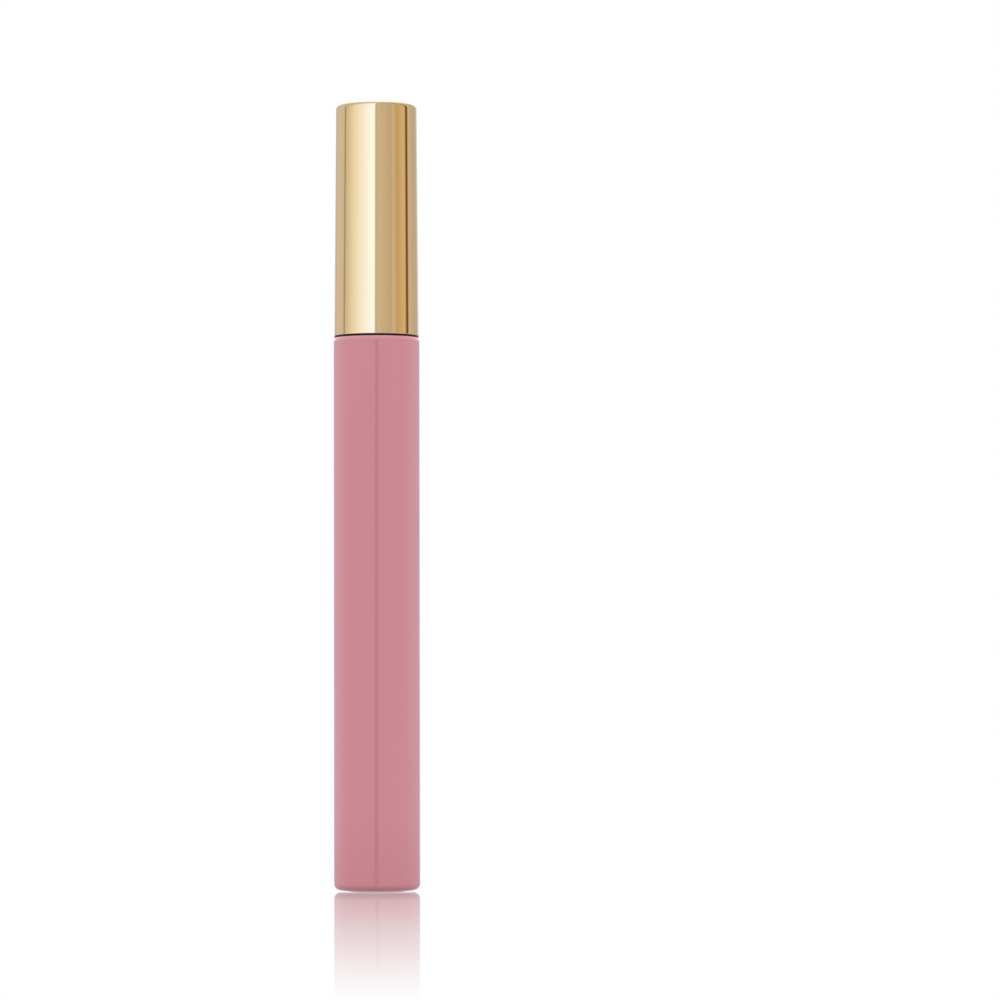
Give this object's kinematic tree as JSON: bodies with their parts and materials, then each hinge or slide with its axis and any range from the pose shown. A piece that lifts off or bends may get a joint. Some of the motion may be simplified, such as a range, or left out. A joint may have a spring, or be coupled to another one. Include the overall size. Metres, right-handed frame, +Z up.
{
  "type": "mascara tube",
  "caption": "Slim round mascara tube: pink bottle with a threaded neck and wiper, and a gold screw cap that carries a black stem and a twisted-wire brush.",
  "frame": {"origin": "centre of the underside of the bottle, on the surface it stands on", "axes": "+Z up along the tube's axis, from the base towards the closed end of the cap; -Y faces the viewer; +X to the right, where the neck thread starts"},
  "size_m": [0.0142, 0.0142, 0.1295],
  "materials": {
    "pink_plastic": "opaque dusty pink, smooth gloss",
    "black_elastomer": "satin soft polymer",
    "mascara": "wet black paste",
    "gasket_foam": "matt closed-cell foam",
    "gold_shell": "bright gold anodised mirror",
    "black_plastic": "moulded, satin",
    "weight_steel": "turned, zinc plated",
    "stem_plastic": "moulded, satin, dark navy black",
    "wire_steel": "drawn stainless wire, twisted",
    "bristle_nylon": "black nylon fibres"
  },
  "bodies": {
    "bottle": {"bottle": "pink_plastic", "wiper": "black_elastomer", "mascara_paste": "mascara"},
    "gasket": {"gasket": "gasket_foam"},
    "weight": {"cap_weight": "weight_steel"},
    "cap": {"cap_shell": "gold_shell", "cap_insert": "black_plastic", "wand_stem": "stem_plastic", "core_wire": "wire_steel", "bristles": "bristle_nylon"}
  },
  "joints": [
    {"name": "cap_pull", "type": "slide", "parent": "bottle", "child": "gasket", "axis": [0, 0, 1], "range_m": [0, 0.105], "deforming": ["bristles"]},
    {"name": "cap_rise", "type": "slide", "parent": "gasket", "child": "weight", "axis": [0, 0, 1], "range_m": [0, 0.0048]},
    {"name": "cap_turn", "type": "hinge", "parent": "weight", "child": "cap", "pos_m": [0, 0, 0.1], "axis": [0, 0, 1], "range_deg": [0, 864]}
  ],
  "couplings": [
    {"joint": "cap_rise", "follows": "cap_turn", "m_per_rad": 0.00031831}
  ]
}
